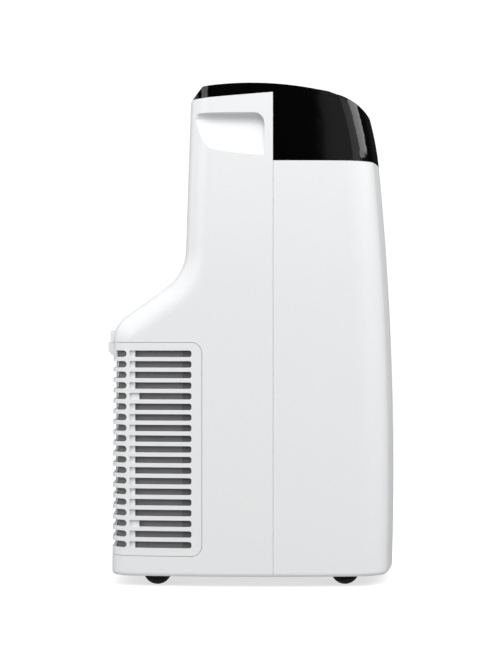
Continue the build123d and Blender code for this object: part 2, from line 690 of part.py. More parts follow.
def compressor_mounts():
    """Rubber bushes that carry the compressor's feet."""
    x, y = COMPRESSOR_XY
    bushes = [ring((x + px, y + py, PAN_Z[1]), (0, 0, 1), 12.0, 4.0, 38.0) for px, py in foot_places()]
    return Compound(children=bushes)


def accumulator():
    can = rod((-18, -150, 84), (0, 0, 1), 24.0, 150)
    return fillet(can.edges().filter_by(GeomType.CIRCLE), 12.0) + rod((-18, -150, 20), (0, 0, 1), 6.0, 66)


def pipe(points, radius=4.0, bend=14.0):
    path = FilletPolyline(*points, radius=bend)
    return sweep(Plane(path @ 0, z_dir=path % 0) * Circle(radius), path=path)


def refrigerant_pipes():
    x, y = COMPRESSOR_XY
    hot = pipe([(x, y, 278), (x, y, 330), (-193, y, 330), (-193, 149, 330), (-183.8, 149, 330)], bend=8.0)
    cold = pipe([(-18, -150, 234), (-18, -150, 385), (COLD_PIPE_X, -150, 385), (COLD_PIPE_X, -150, 600),
                 (COLD_PIPE_X, 57, 600), (COLD_PIPE_X, 57, 690), (-163.8, 57, 690)], bend=9.0)
    return Compound(children=[hot, cold])


def slinger_wheel():
    wheel = rod((0, 172, SLINGER_Z), (0, 1, 0), 34.0, 3) + rod((0, 168, SLINGER_Z), (0, 1, 0), 8.0, 9)
    for turn in range(0, 360, 30):
        blade = Pos(0, 177, SLINGER_Z) * Rot(0, turn, 0) * Pos(0, 0, 27) * Box(2, 5, 12)
        wheel = wheel + blade
    return wheel + rod((0, 112, SLINGER_Z), (0, 1, 0), 3.0, 60)


def slinger_motor():
    can = rod((0, 84, SLINGER_Z), (0, 1, 0), 22.0, 42)
    can = fillet(can.edges().filter_by(GeomType.CIRCLE), 3.0)
    bracket = block((-26, 26), (92, 96), (PAN_Z[1], SLINGER_Z)) + block((-26, 26), (84, 120), (PAN_Z[1], 23))
    return can + bracket - rod((0, 110, SLINGER_Z), (0, 1, 0), 3.0 + RUNNING, 30)


def control_box():
    box = block((112, 196), (-128, -30), (DECK_Z[1], 580))
    return box - block((115, 193), (-125, -20), (DECK_Z[1] + 3, 577))


def power_board():
    """Power circuit board with its run capacitor, transformer and relays."""
    board = block((120, 122), (-120, -36), (438, 570)) + rod((122, -100, 470), (1, 0, 0), 20.0, 60)
    board = board + block((122, 158), (-66, -40), (446, 482))
    for z in (510, 532, 554):
        board = board + block((122, 138), (-112, -90), (z - 8, z + 8))
    return board


# ---- plugs, gland and screws --------------------------------------------
def drain_plug(x, z, length):
    y = rear_wall_y(z)
    cap = rod((x, y - 3.4, z), (0, 1, 0), 12.0, 3.0)
    cap = fillet(cap.edges().sort_by(Axis.Y)[-1], 1.0) + rod((x, y - 3.4 - length, z), (0, 1, 0), 7.0, length + 1)
    return cap - block((x - 7, x + 7), (y - 1.6, y + 2), (z - 1.2, z + 1.2))


def cord_gland():
    """Bushing for the supply lead in the lower rear wall."""
    x, z = GLAND
    y = rear_wall_y(z)
    barrel = ring((x, y - 3.4, z), (0, 1, 0), 8.9, 4.2, 4.0)
    return barrel + ring((x, y + 0.2, z), (0, 1, 0), 11.0, 4.2, 1.2)


def shell_screws():
    screws = []
    for x, z in SCREWS:
        y = rear_wall_y(z)
        head = rod((x, y - 1.5, z), (0, 1, 0), 3.7, 1.4) - block((x - 2.4, x + 2.4), (y - 0.9, y + 1), (z - 0.4, z + 0.4))
        head = head - block((x - 0.4, x + 0.4), (y - 0.9, y + 1), (z - 2.4, z + 2.4))
        screws.append(head + rod((x, y - 12, z), (0, 1, 0), 1.9, 10.6))
    return Compound(children=screws)


# ---- write every piece --------------------------------------------------
def pieces():
    yield "front_shell", front_shell()
    yield "rear_shell", rear_shell()
    yield "front_visor", front_visor()
    yield "top_lid", top_lid()
    yield "control_panel", control_panel()
    yield "display_lens", display_lens()
    yield "control_board", control_board()
    for name, x in zip(BUTTON_NAMES, BUTTON_XS):
        yield name, button(x)
    yield "louver_flap", louver_flap()
    yield "louver_motors", louver_motors()
    yield "outlet_duct", outlet_duct()
    for number, x in enumerate(VANE_XS, 1):
        yield f"vane_{number}", vane(x)
    yield "vane_tie_bar", vane_tie_bar()
    yield "base_pan", base_pan()
    for name, x, y, trail in caster_stems():
        yield f"caster_fork_{name}", caster_fork(x, y, trail)
        yield f"caster_wheels_{name}", caster_wheels(x, y, trail)
    yield "rear_grille", rear_grille()
    yield "grille_latch", grille_latch()
    yield "condenser_filter_frame", condenser_filter_frame()
    yield "condenser_filter_mesh", condenser_filter_mesh()
    yield "intake_grille", intake_grille()
    yield "evaporator_filter", evaporator_filter()
    yield "exhaust_collar", exhaust_collar()
    yield "exhaust_guard", exhaust_guard()
    yield "exhaust_duct", exhaust_duct()
    yield "mid_deck", mid_deck()
    yield "evaporator_scroll", volute(95, BLOWER_Z, 64.5, DUCT_FOOT_Z, (-160, -76), 14.0, 62.0)
    yield "evaporator_blower", fan_wheel(78, 62, BLOWER_Z, (-152, -84), 4.0, -176, 30)
    yield "evaporator_motor", motor(42, BLOWER_Z, (-204, -160.6), 4.0, -176)
    yield "evaporator_coil", coil(145, (40, 72), (652, 742), 3)
    yield "condenser_scroll", volute(104, FAN_Z, 75.0, DECK_Z[0], (-10, 60), 18.0, 80.0)
    yield "condenser_fan", fan_wheel(92, 74, FAN_Z, (-3, 52), 5.0, -40, 34)
    yield "condenser_motor", motor(46, FAN_Z, (-58, -10.6), 5.0, -40)
    yield "condenser_coil", coil(165, (130, 167.5), (100, 372), 9)
    yield "compressor", compressor()
    yield "accumulator", accumulator()
    yield "compressor_mounts", compressor_mounts()
    yield "slinger_wheel", slinger_wheel()
    yield "slinger_motor", slinger_motor()
    yield "refrigerant_pipes", refrigerant_pipes()
    yield "control_box", control_box()
    yield "power_board", power_board()
    yield "drain_plug_lower", drain_plug(*LOW_DRAIN, 13.0)
    yield "drain_plug_upper", drain_plug(*MID_DRAIN, 8.0)
    yield "cord_gland", cord_gland()
    yield "shell_screws", shell_screws()


for piece_name, piece in pieces():
    save(piece_name, piece)
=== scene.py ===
"""Looks of a portable air conditioner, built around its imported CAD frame."""

import json
import math

import bmesh
import bpy
from mathutils import Matrix, Vector

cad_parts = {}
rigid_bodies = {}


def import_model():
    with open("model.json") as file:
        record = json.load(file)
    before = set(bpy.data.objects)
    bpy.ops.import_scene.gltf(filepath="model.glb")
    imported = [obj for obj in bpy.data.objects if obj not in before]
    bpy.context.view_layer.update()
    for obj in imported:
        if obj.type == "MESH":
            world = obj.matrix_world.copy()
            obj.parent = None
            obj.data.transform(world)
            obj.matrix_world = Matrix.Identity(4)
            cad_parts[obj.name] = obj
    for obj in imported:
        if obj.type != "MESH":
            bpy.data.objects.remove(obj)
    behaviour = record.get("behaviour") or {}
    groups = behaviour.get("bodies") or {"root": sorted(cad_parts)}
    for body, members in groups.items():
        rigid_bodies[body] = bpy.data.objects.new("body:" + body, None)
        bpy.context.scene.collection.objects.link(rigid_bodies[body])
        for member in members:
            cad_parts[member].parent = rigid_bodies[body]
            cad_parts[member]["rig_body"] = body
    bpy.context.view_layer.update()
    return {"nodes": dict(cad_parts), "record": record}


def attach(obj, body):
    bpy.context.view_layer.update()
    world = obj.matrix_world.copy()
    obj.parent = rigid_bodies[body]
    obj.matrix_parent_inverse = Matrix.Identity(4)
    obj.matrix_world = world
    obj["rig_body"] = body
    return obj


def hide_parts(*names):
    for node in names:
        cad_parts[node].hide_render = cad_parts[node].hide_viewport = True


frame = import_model()
NODES = frame["nodes"]
SLOT_OF = {row["node"]: row["material_slot"] for row in frame["record"]["subparts"]}
COLOUR_OF = {
    row["slot"]: tuple(row["base_color"][:3]) for row in frame["record"]["materials"]
}
MM = 0.001
ZERO = (0.0, 0.0, 0.0)
ONE = (1.0, 1.0, 1.0)

# ---- colours that differ from the record's, and those of dust, tin and ink ----
SHELL_WHITE = (0.800, 0.806, 0.812)
GLOSS_BLACK = (0.0006, 0.0006, 0.0007)
PANEL_BLACK = (0.006, 0.006, 0.007)
SMOKED_BLACK = (0.002, 0.002, 0.003)
DUST = (0.30, 0.30, 0.29)
TIN = (0.62, 0.62, 0.60)
INK_WHITE = (0.62, 0.64, 0.66)
UNLIT_GREY = (0.035, 0.037, 0.04)

# ---- places that the added pieces share with the CAD, in millimetres ----
CROWN_CENTRE = (1.0, 240.0)
CROWN_RADIUS = 540.0
BUTTON_X = {"power": -64, "mode": -32, "fan": 0, "cooler": 32, "warmer": 64}
BUTTON_Y = 20.0
BUTTON_TOP = 780.9
DISPLAY_Y = -17.0
CONDENSER_FINS = ((-160, 160), (130.0, 167.5), (104, 368))
EVAPORATOR_FINS = ((-140, 140), (40.0, 72.0), (656, 738))
CASTER_STEM_X = 160
CASTER_STEM_Y = (-137, 136)
CASTER_TRAIL = 10
WHEEL_RADIUS = 22

# ---- sizes of the added pieces, in millimetres ----
FIN_PITCH = 2.0
FIN_THICKNESS = 0.22
FIN_PROUD = 0.9
RIB_COUNT = 8
RIB_SIZE = (1.8, 1.4, 9.6)
RIB_OFFSET = 14.0               # from the castor's middle, inside each outer face
RIB_RING_RADIUS = 11
DIGIT_OFFSET = 6.5
DIGIT_HALF_WIDTH = 3.4
DIGIT_BAR_HEIGHT = 6.2
DIGIT_THICK = 0.9
DIGIT_GAP = 0.35
SAME_PLACE = 0.002 * MM
FLAT_ENOUGH = math.radians(0.4)


# ---- node trees -----------------------------------------------------------
class Value:
    """A node's output that takes part in Python arithmetic."""

    def __init__(self, owner, socket):
        self.owner = owner
        self.socket = socket

    def maths(self, operation, *values):
        return self.owner.node("ShaderNodeMath", {"operation": operation}, dict(enumerate(values)))

    def __add__(self, other):
        return self.maths("ADD", self, other)

    def __radd__(self, other):
        return self.maths("ADD", other, self)

    def __sub__(self, other):
        return self.maths("SUBTRACT", self, other)

    def __rsub__(self, other):
        return self.maths("SUBTRACT", other, self)

    def __mul__(self, other):
        return self.maths("MULTIPLY", self, other)

    def __rmul__(self, other):
        return self.maths("MULTIPLY", other, self)

    def __truediv__(self, other):
        return self.maths("DIVIDE", self, other)

    def __rtruediv__(self, other):
        return self.maths("DIVIDE", other, self)

    def __lt__(self, other):
        return self.maths("LESS_THAN", self, other)

    def sine(self):
        return self.maths("SINE", self)

    def size(self):
        return self.maths("ABSOLUTE", self)

    def smallest(self, other):
        return self.maths("MINIMUM", self, other)

    def largest(self, other):
        return self.maths("MAXIMUM", self, other)


class Tree:
    """A node tree whose nodes are added by type, settings and socket values."""

    def __init__(self, tree):
        self.tree = tree

    def feed(self, socket, value):
        if isinstance(value, Value):
            self.tree.links.new(value.socket, socket)
        elif isinstance(value, tuple) and socket.type == "RGBA":
            socket.default_value = (*value[:3], 1.0)
        else:
            socket.default_value = value

    def node(self, kind, settings=None, values=None, output=0):
        node = self.tree.nodes.new(kind)
        for name, setting in (settings or {}).items():
            setattr(node, name, setting)
        for name, value in (values or {}).items():
            self.feed(node.inputs[name], value)
        return Value(self, node.outputs[output])


class Finish(Tree):
    """One surface finish. Its pattern sits still in the row frame."""

    def __init__(self, name, roughness, **constants):
        self.material = bpy.data.materials.new(name)
        self.material.use_nodes = True
        super().__init__(self.material.node_tree)
        self.shader = self.tree.nodes["Principled BSDF"]
        self.set(Roughness=roughness, **constants)
        self.place = self.node("ShaderNodeTexCoord", output="Object")

    def set(self, **values):
        for name, value in values.items():
            self.feed(self.shader.inputs[name.replace("_", " ")], value)

    def stretched(self, scale, rotation=(0.0, 0.0, 0.0)):
        values = {"Vector": self.place, "Scale": scale, "Rotation": rotation}
        return self.node("ShaderNodeMapping", None, values)

    def along(self, axis):
        return self.node("ShaderNodeSeparateXYZ", None, {0: self.place}, "XYZ".index(axis))

    def noise(self, scale, detail=2.0, place=None):
        values = {"Vector": place or self.place, "Scale": scale, "Detail": detail}
        return self.node("ShaderNodeTexNoise", None, values)

    def cells(self, scale):
        return self.node("ShaderNodeTexVoronoi", None, {"Vector": self.place, "Scale": scale})

    def shades(self, factor, first, second):
        """A colour between two, by a factor. The numbers are the Mix node's colour sockets."""
        values = {0: factor, 6: first, 7: second}
        return self.node("ShaderNodeMix", {"data_type": "RGBA"}, values, 2)

    def relief(self, height, distance, strength=1.0):
        values = {"Height": height, "Distance": distance, "Strength": strength}
        self.set(Normal=self.node("ShaderNodeBump", None, values))

    def wave(self, axis, pitch):
        """A ripple from 0 to 1 along one axis, with the given pitch in metres."""
        return (self.along(axis) * (2 * math.pi / pitch)).sine() * 0.5 + 0.5


def darker(colour, share):
    return tuple(channel * share for channel in colour)


# ---- finishes ---------------------------------------------------------------
def moulded(slot, roughness, grain, depth, variation, colour=None):
    """Moulded plastic with a fine spark-eroded grain. Grain and depth are in millimetres."""
    finish = Finish(slot, roughness)
    colour = colour or COLOUR_OF[slot]
    low, high = darker(colour, 1 - variation), darker(colour, 1 + variation)
    finish.set(Base_Color=finish.shades(finish.noise(7.0, 3.0), low, high))
    finish.set(Roughness=finish.noise(55.0, 3.0) * 0.08 + (roughness - 0.04))
    finish.relief(finish.noise(1000 / grain, 2.0), depth * MM, 0.5)
    return finish


def polished(slot, roughness, colour, ripple=0.02):
    """High-gloss moulding, with the faint waviness and hairline haze of a polished tool."""
    finish = Finish(slot, roughness)
    low, high = darker(colour, 0.85), darker(colour, 1.15)
    finish.set(Base_Color=finish.shades(finish.noise(9.0), low, high))
    haze = finish.noise(1.0, 3.0, finish.stretched((900.0, 14.0, 14.0)))
    finish.set(Roughness=finish.noise(24.0, 4.0) * 0.05 + haze * 0.02 + (roughness - 0.035))
    finish.relief(finish.noise(14.0, 1.0), ripple * MM, 0.35)
    return finish


def brushed(slot, roughness, pull, stain=0.12):
    """Drawn or rolled metal, with lines across the pull and a slight stain."""
    finish = Finish(slot, roughness, Metallic=1.0)
    colour = COLOUR_OF[slot]
    lines = finish.noise(60.0, 3.0, finish.stretched(pull))
    cloud = finish.noise(26.0, 4.0)
    finish.set(Base_Color=finish.shades(cloud, darker(colour, 1 - stain), colour))
    finish.set(Roughness=lines * 0.18 + (roughness - 0.09))
    finish.relief(lines, 0.01 * MM, 0.4)
    return finish


def woven(slot, pitch):
    """Fine filter cloth with dust: two sets of crossing threads, at a pitch in millimetres, with
    painted shade in the gaps between them.
    """
    finish = Finish(slot, 0.75)
    colour = COLOUR_OF[slot]
    turn = 2 * math.pi / (pitch * MM)
    across = (finish.along("Z") * turn).sine()
    round_it = ((finish.along("X") + finish.along("Y")) * turn).sine()
    thread_and_gap_shade = across.size().largest(round_it.size())
    dust = finish.noise(30.0, 5.0)
    # painted shade: the colour darkens in the gaps between threads, where the weave's holes hold
    # only shade; the dust below is real
    threads_with_gap_shade = finish.shades(thread_and_gap_shade, darker(colour, 0.35), colour)
    finish.set(Base_Color=finish.shades(dust * 0.3, threads_with_gap_shade, DUST))
    finish.relief(thread_and_gap_shade, 0.12 * MM, 0.9)
    return finish


def finned(slot):
    """Thin aluminium fins on a fine pitch, with painted shade between them."""
    finish = Finish(slot, 0.38, Metallic=0.9)
    colour = COLOUR_OF[slot]
    fin_ripple_and_gap_shade = finish.wave("X", FIN_PITCH * MM)
    wobble = finish.noise(40.0, 3.0)
    # painted shade: the colour darkens between the fins, where shade falls; the same ripple is the
    # fins' real relief
    finish.set(Base_Color=finish.shades(fin_ripple_and_gap_shade, darker(colour, 0.22), colour))
    finish.set(Roughness=wobble * 0.2 + 0.28)
    finish.relief(fin_ripple_and_gap_shade, 0.5 * MM, 0.8)
    return finish


def enamelled(slot):
    """Stoved black enamel with orange peel."""
    finish = Finish(slot, 0.22, Coat_Weight=0.4, Coat_Roughness=0.12)
    colour = COLOUR_OF[slot]
    low, high = darker(colour, 0.8), darker(colour, 1.2)
    finish.set(Base_Color=finish.shades(finish.noise(12.0), low, high))
    finish.set(Roughness=finish.noise(70.0, 3.0) * 0.14 + 0.16)
    finish.relief(finish.noise(420.0, 1.0), 0.05 * MM, 0.5)
    return finish


def circuit_board(slot):
    """Solder-masked board with raised tracks and tinned pads."""
    finish = Finish(slot, 0.35)
    colour = COLOUR_OF[slot]
    grid = finish.stretched((1.0, 1.0, 1.0), (0.0, 0.0, math.radians(45)))
    layout = {"Vector": grid, "Scale": 90.0, "Mortar Size": 0.06, "Mortar Smooth": 0.3}
    tracks = finish.node("ShaderNodeTexBrick", {"offset": 0.5}, layout, "Fac")
    pads = finish.cells(260.0) < 0.18
    copper = finish.shades(tracks, colour, darker(colour, 1.9))
    finish.set(Base_Color=finish.shades(pads, copper, TIN))
    finish.set(Metallic=pads * 0.9, Roughness=0.42 - pads * 0.14)
    finish.relief(tracks + pads, 0.05 * MM, 0.6)
    return finish


def rubbery(slot):
    """Matt rubber with a fine bloom."""
    finish = Finish(slot, 0.7)
    colour = COLOUR_OF[slot]
    bloom = finish.noise(34.0, 5.0)
    finish.set(Base_Color=finish.shades(bloom, darker(colour, 0.75), darker(colour, 1.35)))
    finish.set(Roughness=bloom * 0.2 + 0.6)
    finish.relief(finish.noise(1250.0, 3.0), 0.03 * MM, 0.6)
    return finish


def copper(slot):
    """Drawn copper tube, part bright and part tarnished."""
    finish = Finish(slot, 0.3, Metallic=1.0)
    colour = COLOUR_OF[slot]
    tarnish = finish.noise(38.0, 5.0)
    finish.set(Base_Color=finish.shades(tarnish, darker(colour, 0.5), colour))
    finish.set(Roughness=tarnish * 0.25 + 0.18)
    finish.relief(finish.noise(500.0, 2.0), 0.01 * MM, 0.5)
    return finish


def printed(name, colour):
    """Screen-printed ink: matt, a little uneven."""
    finish = Finish(name, 0.5)
    ink = finish.noise(400.0, 3.0)
    finish.set(Base_Color=finish.shades(ink, darker(colour, 0.88), colour))
    finish.set(Roughness=ink * 0.2 + 0.4)
    finish.relief(ink, 0.01 * MM, 0.4)
    return finish


FINISHES = {
    "white_shell": moulded("white_shell", 0.36, 0.5, 0.010, 0.006, SHELL_WHITE),
    "gloss_black": polished("gloss_black", 0.085, GLOSS_BLACK),
    "panel_black": moulded("panel_black", 0.24, 0.3, 0.004, 0.1, PANEL_BLACK),
    "display_glass": polished("display_glass", 0.05, SMOKED_BLACK, 0.004),
    "circuit_board": circuit_board("circuit_board"),
    "motor_steel": brushed("motor_steel", 0.38, pull=(1.0, 60.0, 1.0)),
    "duct_plastic": moulded("duct_plastic", 0.5, 0.6, 0.02, 0.06),
    "vane_black": moulded("vane_black", 0.42, 0.5, 0.015, 0.1),
    "base_plastic": moulded("base_plastic", 0.5, 0.6, 0.02, 0.06),
    "filter_frame": moulded("filter_frame", 0.5, 0.6, 0.02, 0.06),
    "filter_mesh": woven("filter_mesh", 2.4),
    "guard_grey": moulded("guard_grey", 0.48, 0.5, 0.015, 0.05),
    "fan_plastic": moulded("fan_plastic", 0.46, 0.6, 0.015, 0.08),
    "fin_aluminium": finned("fin_aluminium"),
    "compressor_enamel": enamelled("compressor_enamel"),
    "mount_rubber": rubbery("mount_rubber"),
    "copper_pipe": copper("copper_pipe"),
    "screw_steel": brushed("screw_steel", 0.34, pull=(8.0, 1.0, 8.0), stain=0.2),
    "button_black": moulded("button_black", 0.34, 0.3, 0.006, 0.1),
    "caster_nylon": moulded("caster_nylon", 0.42, 0.5, 0.012, 0.12),
    "caster_tread": rubbery("caster_tread"),
}
PRINT_WHITE = printed("print_white", INK_WHITE)
SEGMENT_GREY = printed("segment_grey", UNLIT_GREY)

for node, piece in NODES.items():
    for place in piece.material_slots:
        place.material = FINISHES[SLOT_OF[node]].material


# ---- making pieces --------------------------------------------------------------
def link(name, mesh):
    piece = bpy.data.objects.new(name, mesh)
    bpy.context.scene.collection.objects.link(piece)
    return piece


def settled(piece):
    """Turns a piece and its modifiers into a plain mesh that sits at the origin."""
    seen = piece.evaluated_get(bpy.context.evaluated_depsgraph_get())
    mesh = bpy.data.meshes.new_from_object(seen)
    piece.modifiers.clear()
    piece.data = mesh


def finished(piece, body, finish):
    """Gives a piece its finish and its body."""
    piece.data.materials.clear()
    piece.data.materials.append(finish.material)
    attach(piece, body)


def body_of(node):
    return NODES[node]["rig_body"]


def softened(node, width, segments=2, angle=32):
    """Puts a copy with small rounded edges, of a width in millimetres, in a CAD node's place."""
    source = NODES[node].data
    mesh = bpy.data.meshes.new(node + "_soft")
    corners = [vertex.co for vertex in source.vertices]
    mesh.from_pydata(corners, [], [list(face.vertices) for face in source.polygons])
    form = bmesh.new()
    form.from_mesh(mesh)
    bmesh.ops.remove_doubles(form, verts=form.verts, dist=SAME_PLACE)
    bmesh.ops.dissolve_degenerate(form, edges=form.edges, dist=SAME_PLACE)
    bmesh.ops.dissolve_limit(form, angle_limit=FLAT_ENOUGH, verts=form.verts, edges=form.edges)
    form.to_mesh(mesh)
    form.free()
    mesh.shade_smooth()
    piece = link(node + "_soft", mesh)
    rounding = piece.modifiers.new("rounding", "BEVEL")
    rounding.width = width * MM
    rounding.segments = segments
    rounding.limit_method = "ANGLE"
    rounding.angle_limit = math.radians(angle)
    weighting = piece.modifiers.new("weighting", "WEIGHTED_NORMAL")
    weighting.keep_sharp = True
    settled(piece)
    finished(piece, body_of(node), FINISHES[SLOT_OF[node]])
    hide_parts(node)


# ---- what repeats: geometry trees ---------------------------------------------------
SOCKET_OF = {int: "NodeSocketInt", float: "NodeSocketFloat", tuple: "NodeSocketVector"}


class Shape(Tree):
    """A geometry tree with named inputs, which ends in real, finished meshes."""

    def __init__(self, name, **inputs):
        group = bpy.data.node_groups.new(name, "GeometryNodeTree")
        super().__init__(group)
        group.interface.new_socket("Mesh", in_out="OUTPUT", socket_type="NodeSocketGeometry")
        self.identifiers = {}
        for key, value in inputs.items():
            kind = SOCKET_OF[type(value)]
            socket = group.interface.new_socket(key, in_out="INPUT", socket_type=kind)
            socket.default_value = value
            self.identifiers[key] = socket.identifier
        finish = group.interface.new_socket(
            "Finish", in_out="INPUT", socket_type="NodeSocketMaterial")
        self.identifiers["Finish"] = finish.identifier
        self.inputs = group.nodes.new("NodeGroupInput")

    def given(self, name):
        return Value(self, self.inputs.outputs[name])

    def end(self, geometry):
        real = self.node("GeometryNodeRealizeInstances", None, {0: geometry})
        values = {"Geometry": real, "Material": self.given("Finish")}
        dressed = self.node("GeometryNodeSetMaterial", None, values)
        out = self.tree.nodes.new("NodeGroupOutput")
        self.tree.links.new(dressed.socket, out.inputs[0])

    def grow(self, name, body, slot, **values):
        """Makes one piece from the tree, as a plain mesh on one body."""
        piece = link(name, bpy.data.meshes.new(name))
        maker = piece.modifiers.new("maker", "NODES")
        maker.node_group = self.tree
        for key, value in values.items():
            maker[self.identifiers[key]] = value
        maker[self.identifiers["Finish"]] = FINISHES[slot].material
        settled(piece)
        finished(piece, body, FINISHES[slot])


def bars_in_a_row():
    """Equal bars, side by side, from a first place and a step."""
    shape = Shape("bars_in_a_row", Count=2, First=ZERO, Step=ZERO, Size=ONE)
    line = shape.node("GeometryNodeMeshLine", {"mode": "OFFSET"}, {
        "Count": shape.given("Count"),
        "Start Location": shape.given("First"),
        "Offset": shape.given("Step")})
    bar = shape.node("GeometryNodeMeshCube", None, {"Size": shape.given("Size")})
    shape.end(shape.node("GeometryNodeInstanceOnPoints", None, {"Points": line, "Instance": bar}))
    return shape


def bars_round_an_axis():
    """Radial bars round an axis that runs along X."""
    shape = Shape("bars_round_an_axis", Count=6, Centre=ZERO, Radius=0.01, Size=ONE)
    circle = shape.node("GeometryNodeMeshCircle", None, {
        "Vertices": shape.given("Count"), "Radius": shape.given("Radius")})
    turned = shape.node("GeometryNodeTransform", None, {
        "Geometry": circle, "Rotation": (0.0, math.pi / 2, 0.0),
        "Translation": shape.given("Centre")})
    index = shape.node("GeometryNodeInputIndex")
    angle = index * (2 * math.pi) / shape.given("Count")
    turn = shape.node("ShaderNodeCombineXYZ", None, {0: angle})
    bar = shape.node("GeometryNodeMeshCube", None, {"Size": shape.given("Size")})
    shape.end(shape.node("GeometryNodeInstanceOnPoints", None, {
        "Points": turned, "Instance": bar, "Rotation": turn}))
    return shape


ROW = bars_in_a_row()
SPOKES = bars_round_an_axis()


def add_fins(name, block):
    """Fins that stand a little proud of a coil's solid core, front and back."""
    (x0, x1), (y0, y1), (z0, z1) = block
    count = int((x1 - x0) / FIN_PITCH) + 1
    size = Vector((FIN_THICKNESS, y1 - y0 + 2 * FIN_PROUD, z1 - z0)) * MM
    first = Vector((x0, (y0 + y1) / 2, (z0 + z1) / 2)) * MM
    ROW.grow(name, "housing", "fin_aluminium", Count=count, First=tuple(first),
             Step=(FIN_PITCH * MM, 0.0, 0.0), Size=tuple(size))


def add_wheel_ribs():
    """Moulded ribs in the recess of every castor wheel's outer face."""
    size = tuple(Vector(RIB_SIZE) * MM)
    for end, y in zip("fr", CASTER_STEM_Y):
        axle_y = y + math.copysign(CASTER_TRAIL, y)
        for side, x in (("l", CASTER_STEM_X), ("r", -CASTER_STEM_X)):
            for face in (-1, 1):
                where = "in" if face * x < 0 else "out"
                centre = Vector((x + face * RIB_OFFSET, axle_y, WHEEL_RADIUS)) * MM
                SPOKES.grow(f"wheel_ribs_{end}{side}_{where}", f"caster_wheels_{end}{side}",
                            "caster_nylon", Count=RIB_COUNT, Centre=tuple(centre),
                            Radius=RIB_RING_RADIUS * MM, Size=size)


# ---- buttons and readout ---------------------------------------------------------
def crown_z(y):
    return CROWN_CENTRE[1] + math.sqrt(CROWN_RADIUS ** 2 - (y - CROWN_CENTRE[0]) ** 2)


def arc(radius, start, stop, steps=28):
    angles = [math.radians(start + (stop - start) * i / steps) for i in range(steps + 1)]
    return [(math.sin(angle) * radius, math.cos(angle) * radius) for angle in angles]


def arc_band(radius, width, start, stop):
    """Outline of a flat ring or part of one, from start to stop in degrees."""
    outer = arc(radius + width / 2, start, stop)
    inner = arc(radius - width / 2, start, stop)
    return outer + inner[::-1]


def bar(x0, x1, y0, y1):
    return [(x0, y0), (x1, y0), (x1, y1), (x0, y1)]


def petal(angle):
    """One fan blade, turned round the middle by an angle in degrees."""
    outline = [(0.3, 0.5), (1.6, 1.0), (2.0, 2.2), (1.1, 2.9), (-0.1, 2.4), (-0.3, 1.2)]
    turn = Matrix.Rotation(math.radians(angle), 2)
    return [tuple(turn @ Vector(point)) for point in outline]


ICONS = {
    "power": [arc_band(2.2, 0.55, 38, 322), bar(-0.28, 0.28, 0.9, 3.1)],
    "mode": [bar(-2.4, 2.4, middle - 0.28, middle + 0.28) for middle in (1.67, 0.0, -1.67)],
    "fan": [petal(0), petal(120), petal(240)],
    "cooler": [[(-2.3, 1.1), (-1.7, 1.6), (0, -0.2), (1.7, 1.6), (2.3, 1.1), (0, -1.4)]],
    "warmer": [[(-2.3, -1.1), (0, 1.4), (2.3, -1.1), (1.7, -1.6), (0, 0.2), (-1.7, -1.6)]],
}


def flat_print(name, outlines, centre, height_at, thickness=0.05):
    """Flat printed shapes, as thin closed plates that follow the surface under them."""
    form = bmesh.new()
    for outline in outlines:
        corners = []
        for x, y in outline:
            px, py = centre[0] + x, centre[1] + y
            corners.append(form.verts.new(Vector((px, py, height_at(py) + thickness)) * MM))
        form.faces.new(corners)
    bmesh.ops.triangulate(form, faces=form.faces)
    form.normal_update()
    for face in form.faces:
        if face.normal.z < 0:
            face.normal_flip()
    skirt = bmesh.ops.extrude_face_region(form, geom=list(form.faces))
    lowered = [item for item in skirt["geom"] if isinstance(item, bmesh.types.BMVert)]
    bmesh.ops.translate(form, verts=lowered, vec=(0.0, 0.0, -1.6 * thickness * MM))
    bmesh.ops.recalc_face_normals(form, faces=form.faces)
    mesh = bpy.data.meshes.new(name)
    form.to_mesh(mesh)
    form.free()
    return link(name, mesh)


def add_icons():
    for name, x in BUTTON_X.items():
        icon = flat_print(f"{name}_icon", ICONS[name], (x, BUTTON_Y), lambda y: BUTTON_TOP)
        finished(icon, f"button_{name}", PRINT_WHITE)


def add_readout():
    """Two unlit seven-bar digits on the smoked lens."""
    half, tall, thick, gap = DIGIT_HALF_WIDTH, DIGIT_BAR_HEIGHT, DIGIT_THICK, DIGIT_GAP
    level_bar = bar(-half + gap, half - gap, -thick / 2, thick / 2)
    upright_bar = bar(-thick / 2, thick / 2, gap, tall - gap)
    outlines = []
    for middle in (-DIGIT_OFFSET, DIGIT_OFFSET):
        for level in (-tall, 0.0, tall):
            outlines.append([(middle + x, level + y) for x, y in level_bar])
        for side in (-half, half):
            for low in (-tall, 0.0):
                outlines.append([(middle + side + x, low + y) for x, y in upright_bar])
    readout = flat_print("readout_digits", outlines, (0.0, DISPLAY_Y), crown_z, 0.04)
    finished(readout, "housing", SEGMENT_GREY)


# ---- the pieces ------------------------------------------------------------------
softened("top_lid", 1.6, 3)
softened("front_visor", 0.8, 2)
softened("louver_flap", 1.0, 2)
softened("rear_grille", 1.1, 2, 40)
add_fins("condenser_fins", CONDENSER_FINS)
add_fins("evaporator_fins", EVAPORATOR_FINS)
add_wheel_ribs()
add_icons()
add_readout()


# ---- camera, floor and light ---------------------------------------------------------
CAMERA_PLACE = (-3.3, 0.0, 0.39)
LENS_MM = 107.6
SENSOR_MM = 36.0
SIGHT_RANGE = 60.0
MIDDLE = (0.0, 0.0, 0.42)
FLOOR_RADIUS = 3.0
FLOOR_CLEAR = 0.9               # radius up to which the floor is solid
FLOOR_FADE = 1.8                # width of the band in which it fades
FLOOR_GREY = (0.45, 0.45, 0.45)
FLOOR_GLOW = 0.68
BACKDROP = 1.05
FILL_ABOVE = 0.89
FILL_BELOW = 0.16
FILL_RISE = 1.4                 # how fast the fill grows with elevation
FILL_UNDER = 2.4                # light that the floor throws up
FILL_UNDER_FROM = -0.55         # height of the direction below which it counts
ROOM_IN_GLOSS = 0.015
